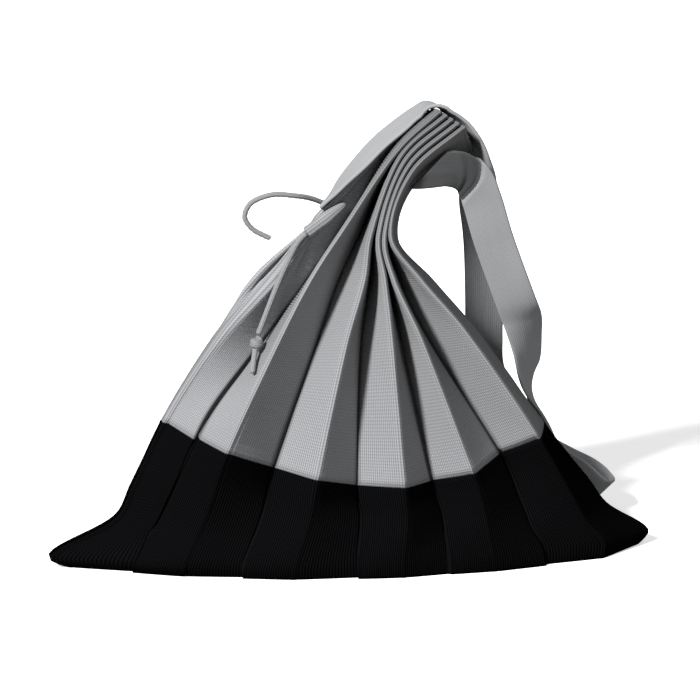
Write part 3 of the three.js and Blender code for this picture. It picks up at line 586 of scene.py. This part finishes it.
def make_strap():
    mid, length, extra = catmull(STRAP[:, :3], STRAP_ROWS, STRAP[:, 3:])
    across, cut = extra[:, :3], extra[:, 3]
    ahead = unit(np.gradient(mid, axis=0))
    across = unit(across - ahead * np.sum(across * ahead, 1, keepdims=True))
    face = np.cross(ahead, across)
    # cross-section: rounded long edges, fine ribs on both faces
    n = STRAP_RIBS * 2
    s = np.linspace(-1, 1, n + 1)
    half_w, half_t = STRAP_WIDTH / 2, STRAP_THICK / 2
    fall = np.sqrt(np.maximum(0.0, 1 - np.maximum(0.0, (np.abs(s) - 0.93) / 0.07) ** 2))
    rib = np.where(np.arange(n + 1) % 2 == 0, -0.06, 0.06)
    top_z = half_t * (0.35 + 0.65 * fall) + rib * fall
    a = np.concatenate([s * half_w, s[::-1] * half_w])
    f = np.concatenate([-top_z, top_z[::-1]])
    u = np.concatenate([(s + 1) / 2 * STRAP_RIBS, (s[::-1] + 1) / 2 * STRAP_RIBS])
    ring = len(a)
    at = np.linspace(0, length, STRAP_ROWS)
    wave = 0.35 * ripple(at[:, None] * 0.03, (a / half_w)[None, :] * 1.2, 5)
    # the crease where the front run turns over to its sewn end: from the inner edge, up across to the outer edge
    inner_at, outer_at = (at[np.argmin(np.linalg.norm(mid - STRAP[k, :3], axis=1))] for k in (-4, -3))
    past = at[:, None] - 3.5 - inner_at - (outer_at + 4 - inner_at) * (1 - (a / half_w)[None, :]) / 2
    wave = wave + (-2.0 * bump(past, -1.0, 1.7) + 1.3 * bump(past, 3.6, 2.4) - 0.5 * bump(past, 10, 2.5) + 0.4 * bump(past, 14, 2.5))
    verts = mid[:, None, :] + across[:, None, :] * a[None, :, None] + face[:, None, :] * (f[None, :] + wave)[:, :, None] + ahead[:, None, :] * (cut[:, None] * a[None, :])[:, :, None]
    # over the mouth's high end the far edge droops
    crown = (0.8 * bump(mid[:, 0], 54.5, 4.5) + 1.1 * bump(mid[:, 0], 60, 3.2) + 0.8 * bump(mid[:, 0], 65, 5)) * (mid[:, 2] > 318)
    verts[:, :, 2] -= crown[:, None] * smooth((-a / half_w - 0.05) / 0.9)[None, :]
    # the sewn end laps onto the last panel
    verts += ahead[:, None, :] * (1.8 * smooth((at - length + 12) / 12))[:, None, None]
    verts[:, :, 2] = np.maximum(verts[:, :, 2], 0.05)
    # painted shade: the sewn end's colour is darkened, darkest just past the crease, standing in for the shadow under
    # the mouth's pleats
    painted_shading = 1 - 0.75 * smooth((past + 1) / 5) - 0.11 * bump(past, 3, 9) * smooth((past + 2) / 3)
    uvs = np.stack(np.broadcast_arrays(u[None, :], at[:, None] / 1.7), -1)
    faces = grid_faces(STRAP_ROWS, ring, closed=True)
    faces.append(tuple(range(ring))[::-1])
    last = (STRAP_ROWS - 1) * ring
    faces.append(tuple(range(last, last + ring)))
    return mesh_piece("strap", verts.reshape(-1, 3), faces, uvs.reshape(-1, 2), strap_knit, painted_shading=painted_shading.ravel()), length


strap, strap_length = make_strap()


# ---------------------------------------------------------------- cords
CORD = 4.0


def frame_along(line):
    ahead = unit(np.gradient(line, axis=0))
    side = unit(np.cross(ahead[0], np.array([0.3, 1.0, 0.2])))
    sides = []
    for a in ahead:
        side = unit(side - a * np.dot(side, a))
        sides.append(side)
    sides = np.array(sides)
    return ahead, sides, np.cross(ahead, sides)


def cord_tube(line, diameter, length, sides=20, plait=8, cap=True):
    """A plaited round cord along a line: verts, faces, uvs."""
    ahead, side, other = frame_along(line)
    at = np.linspace(0, length, len(line))
    ang = np.arange(sides) / sides * 2 * math.pi
    spin = at[:, None] / diameter * 1.5
    over = np.maximum(np.sin(plait / 2 * (ang[None, :] + spin)), np.sin(plait / 2 * (ang[None, :] - spin)))
    r = diameter / 2 * (0.955 + 0.045 * over)
    end = np.minimum(1.0, np.minimum(at, length - at) / (diameter * 0.3))
    r = r * np.sqrt(np.maximum(0.03, 1 - (1 - end) ** 2))[:, None]
    verts = line[:, None, :] + side[:, None, :] * (np.cos(ang)[None, :] * r)[:, :, None] + other[:, None, :] * (np.sin(ang)[None, :] * r)[:, :, None]
    faces = grid_faces(len(line), sides, closed=True)
    faces.append(tuple(range(sides))[::-1])
    last = (len(line) - 1) * sides
    faces.append(tuple(range(last, last + sides)))
    uvs = np.stack(np.broadcast_arrays((ang / (2 * math.pi) * plait)[None, :], at[:, None] / 1.2), -1)
    return verts.reshape(-1, 3), faces, uvs.reshape(-1, 2)


CORD_FRONT = [(-33.4, -15.9, 244.0), (-39.6, -17.0, 237.8), (-46.2, -17.2, 225.3), (-54.0, -18.0, 208.5), (-69.3, -25.0, 173.3)]
CORD_TAIL = [(-70.4, -25.6, 169.0), (-71, -26, 166), (-73.2, -31, 156), (-75, -36, 148)]
CORD_BACK = [(-9.5, 15.4, 254.5), (-17, 15.2, 257.8), (-26, 11, 262.4), (-38, 5, 266.2), (-56, 3, 268), (-71, 3, 262), (-75, 3, 252.5), (-70, 3, 244), (-56.5, 3, 236)]
KNOT_MID = np.array([-70.5, -26.0, 167.3])


def cord_piece(name, table):
    line, length = catmull(table, 160)
    v, f, uv = cord_tube(line, CORD, length)
    return mesh_piece(name, v, f, uv, cord_knit), line, length


cord_front, line_front, len_front = cord_piece("drawcord_hanging", CORD_FRONT)
cord_back, line_back, len_back = cord_piece("drawcord_loose", CORD_BACK)


def make_knot():
    """Two turns round the cord, their ends tucked under, and the short tail below."""
    axis = unit(np.array(CORD_TAIL[1]) - np.array(CORD_FRONT[-1]))
    u = unit(np.cross(axis, np.array([0.2, 1.0, 0.1])))
    w = np.cross(axis, u)
    turn = np.linspace(-0.35, 2.25, 90) * 2 * math.pi
    share = np.linspace(0, 1, 90)
    radius = 3.2 * np.sin(np.clip(share, 0.02, 0.98) * math.pi) ** 0.35
    slide = (share - 0.5) * 6.2 + 0.7 * np.sin(turn)
    line = KNOT_MID + axis * slide[:, None] + u * (np.cos(turn) * radius)[:, None] + w * (np.sin(turn) * radius)[:, None]
    length = float(np.linalg.norm(np.diff(line, axis=0), axis=1).sum())
    v1, f1, uv1 = cord_tube(line, CORD * 0.95, length, sides=16)
    tail, tail_len = catmull(CORD_TAIL, 60)
    v2, f2, uv2 = cord_tube(tail, CORD, tail_len)
    f2 = [tuple(i + len(v1) for i in f) for f in f2]
    return mesh_piece("drawcord_knot", np.concatenate([v1, v2]), f1 + f2, np.concatenate([uv1, uv2]), cord_knit)


knot = make_knot()

CASING = [(-4.7, -11.0, 262.9), (-11.3, -12.8, 259.1), (-20.9, -14.6, 252.5), (-32.8, -16.0, 244.4)]


def make_casing():
    """The hem channel that the cord comes out of: a flat ribbed tube whose lower end is open."""
    line, length = catmull(CASING, 110)
    ahead = unit(np.gradient(line, axis=0))
    deep = np.tile(np.array([0.0, 1.0, 0.0]), (len(line), 1))
    deep = unit(deep - ahead * np.sum(deep * ahead, 1, keepdims=True))
    wide = np.cross(ahead, deep)
    sides = 48
    ang = np.arange(sides) / sides * 2 * math.pi
    at = np.linspace(0, length, len(line))
    flat_a = np.sign(np.cos(ang)) * np.abs(np.cos(ang)) ** 0.7
    flat_b = np.sign(np.sin(ang)) * np.abs(np.sin(ang)) ** 0.9
    ribs = 0.07 * np.cos(ang * 12)
    taper = np.sqrt(np.maximum(0.02, 1 - (1 - np.minimum(1, at / 20.0)) ** 2))
    flare = 1.0 + 0.10 * smooth((at - 0.6 * length) / (0.3 * length)) + 0.16 * bump(at, 0.5 * length, 0.2 * length)
    knots = 0.03 * np.sin(at / 1.9 * 2 * math.pi)
    size = flare[:, None] * (1 + ribs[None, :] + knots[:, None])
    a = 2.7 * (taper[:, None] * size) * flat_a[None, :]
    b = 4.0 * (taper ** 0.7)[:, None] * size * flat_b[None, :]
    outer = line[:, None, :] + deep[:, None, :] * a[:, :, None] + wide[:, None, :] * b[:, :, None]
    rings = list(outer)
    for inset, back in ((0.90, -0.5), (0.80, -0.2), (0.76, 0.8), (0.74, 3.0)):  # the lip and the hole
        rings.append(line[-1] - ahead[-1] * back + deep[-1] * (a[-1] * inset)[:, None] + wide[-1] * (b[-1] * inset)[:, None])
    verts = np.array(rings)
    faces = grid_faces(len(verts), sides, closed=True)
    faces.append(tuple(range(sides))[::-1])
    last = (len(verts) - 1) * sides
    faces.append(tuple(range(last, last + sides)))
    run = np.concatenate([at, length + np.array([0.5, 1.0, 2.0, 4.0])])
    uvs = np.stack(np.broadcast_arrays((ang / (2 * math.pi) * 12)[None, :], run[:, None] / 1.7), -1)
    return mesh_piece("casing", verts.reshape(-1, 3), faces, uvs.reshape(-1, 2), grey_knit, painted_shading=np.ones(verts.size // 3))


casing = make_casing()

# ---------------------------------------------------------------- each piece joins the root body, and its CAD part is hidden
for obj, cad, slot in (
    (front_lower, "front_lower_panel", "black_knit"), (back_lower, "back_lower_panel", "black_knit"),
    (front_upper, "front_upper_panel", "grey_knit"), (back_upper, "back_upper_panel", "grey_knit"),
    (strap, "shoulder_strap", "strap_knit"), (casing, "cord_casing", "grey_knit"),
    (cord_front, "drawcord_front", "cord"), (cord_back, "drawcord_back", "cord"), (knot, "cord_knot", "cord"),
):
    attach(obj, "root")
    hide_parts(cad)

# ---------------------------------------------------------------- floor and light
floor_mesh = bpy.data.meshes.new("floor")
floor_mesh.from_pydata([(-8, -8, 0), (8, -8, 0), (8, 12, 0), (-8, 12, 0)], [], [(0, 1, 2, 3)])
floor = bpy.data.objects.new("floor", floor_mesh)
bpy.context.scene.collection.objects.link(floor)
floor_mat = bpy.data.materials.new("floor")
floor_mat.use_nodes = True
floor_mat.node_tree.nodes["Principled BSDF"].inputs["Base Color"].default_value = (0.9, 0.9, 0.9, 1)
floor_mat.node_tree.nodes["Principled BSDF"].inputs["Roughness"].default_value = 0.9
ft = floor_mat.node_tree
pale = ft.nodes["Principled BSDF"]
pale.inputs["Specular IOR Level"].default_value = 0.0
pale.inputs["Emission Color"].default_value = (1, 1, 1, 1)
pale.inputs["Emission Strength"].default_value = 0.5
dim = ft.nodes.new("ShaderNodeBsdfDiffuse")
dim.inputs["Color"].default_value = (0.22, 0.22, 0.22, 1)
path = ft.nodes.new("ShaderNodeLightPath")
both = ft.nodes.new("ShaderNodeMixShader")
ft.links.new(path.outputs["Is Camera Ray"], both.inputs[0])
ft.links.new(dim.outputs[0], both.inputs[1])
ft.links.new(pale.outputs[0], both.inputs[2])
ft.links.new(both.outputs[0], ft.nodes["Material Output"].inputs["Surface"])
floor_mesh.materials.append(floor_mat)


def sun_light(name, toward, strength, angle):
    data = bpy.data.lights.new(name, "SUN")
    data.energy = strength
    data.angle = math.radians(angle)
    obj = bpy.data.objects.new(name, data)
    obj.rotation_euler = (-Vector(toward)).to_track_quat("-Z", "Y").to_euler()
    bpy.context.scene.collection.objects.link(obj)
    return obj


sun_light("key", (-0.55, -0.60, 0.58), 7.7, 8)
sun_light("fill", (0.35, -0.90, 0.25), 0.95, 60)
world = bpy.data.worlds.new("world")
world.use_nodes = True
wt = world.node_tree
sky = wt.nodes["Background"]
sky.inputs[0].default_value = (1, 1, 1, 1)
sky.inputs[1].default_value = 0.25
bpy.context.scene.world = world
bpy.context.scene.view_settings.view_transform = "Standard"

bpy.context.view_layer.update()
